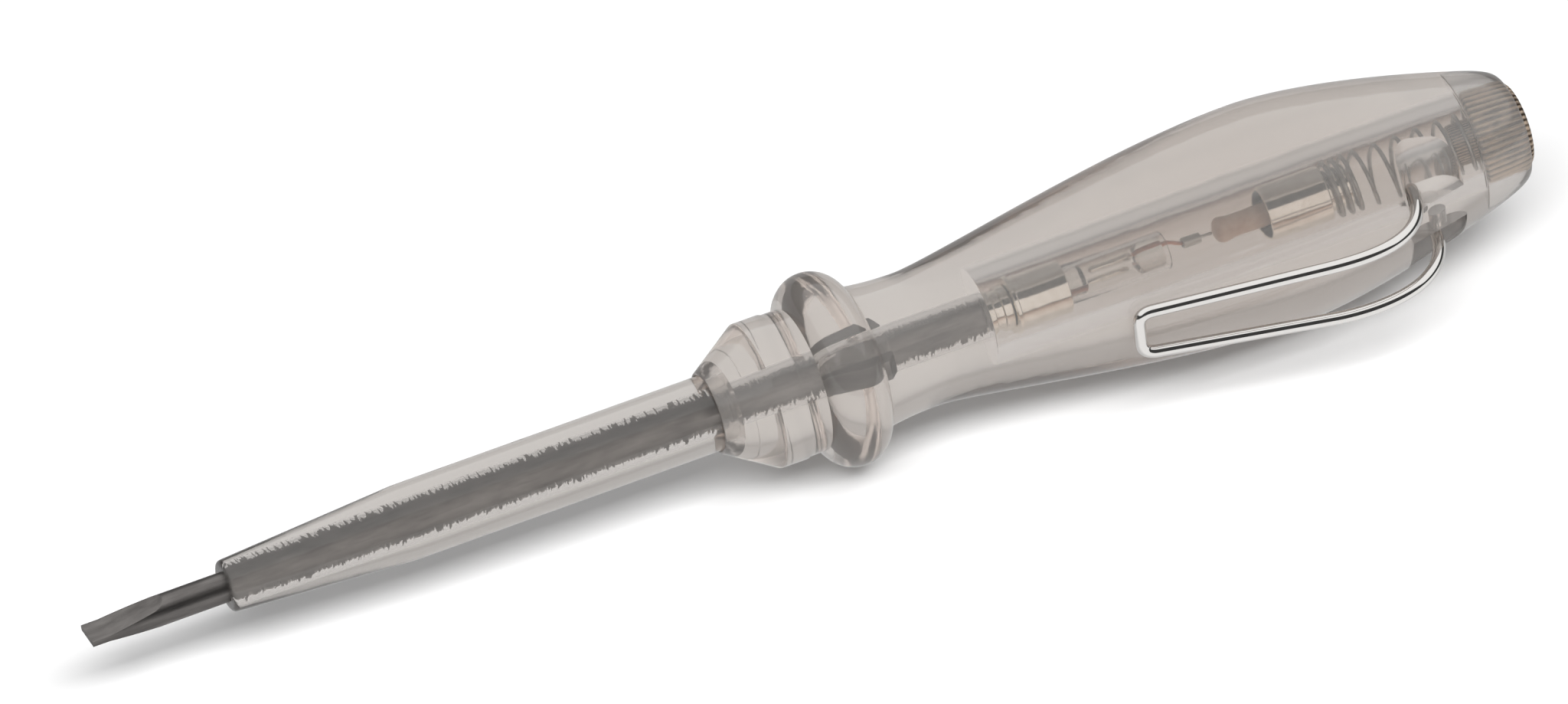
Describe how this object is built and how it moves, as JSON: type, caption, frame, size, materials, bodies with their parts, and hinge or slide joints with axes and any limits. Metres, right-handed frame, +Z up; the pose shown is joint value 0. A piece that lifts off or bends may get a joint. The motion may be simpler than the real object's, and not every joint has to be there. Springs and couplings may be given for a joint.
{
  "type": "voltage tester screwdriver",
  "caption": "Slim voltage tester screwdriver with a flat blade in a clear sleeve, a clear bellied handle holding a glow lamp, resistor and spring, a knurled end contact and a wire pocket clip.",
  "frame": {"origin": "middle of the flat end face of the blade tip", "axes": "+X along the tool's axis from the tip to the end contact, +Z up with the tip's flats facing up and down, -Y towards the pocket clip"},
  "size_m": [0.14, 0.0247, 0.0206],
  "materials": {
    "blade_steel": "blackish matte steel, bright at the ground tip",
    "clear_plastic": "clear moulded plastic with a faint warm grey tint",
    "nickel_plate": "bright nickel plate",
    "lamp_glass": "clear glass",
    "copper_clad_wire": "copper-red wire",
    "tinned_wire": "tinned wire",
    "brown_lacquer": "brown lacquer",
    "spring_steel": "drawn spring wire",
    "knurled_brass": "knurled, dull nickel over brass",
    "clip_chrome": "polished chrome wire"
  },
  "bodies": {
    "tool": {"blade": "blade_steel", "blade_sleeve": "clear_plastic", "handle": "clear_plastic", "contact_bush": "nickel_plate", "lamp_cap": "nickel_plate", "lamp_bulb": "lamp_glass", "lamp_front_bead": "lamp_glass", "lamp_rear_bead": "lamp_glass", "front_electrode": "nickel_plate", "rear_electrode": "nickel_plate", "front_lead": "copper_clad_wire", "rear_lead": "copper_clad_wire", "lead_joint": "tinned_wire", "resistor_front_lead": "tinned_wire", "resistor_body": "brown_lacquer", "resistor_rear_lead": "tinned_wire", "contact_cup": "nickel_plate", "contact_spring": "spring_steel", "end_plug": "knurled_brass"},
    "clip": {"pocket_clip": "clip_chrome"}
  },
  "joints": [
    {"name": "clip_lift", "type": "hinge", "parent": "tool", "child": "clip", "pos_m": [0.12765, -0.00624, 0], "axis": [0, 0, 1], "range_deg": [0, 8], "stiffness_Nm_per_rad": 0.8}
  ]
}
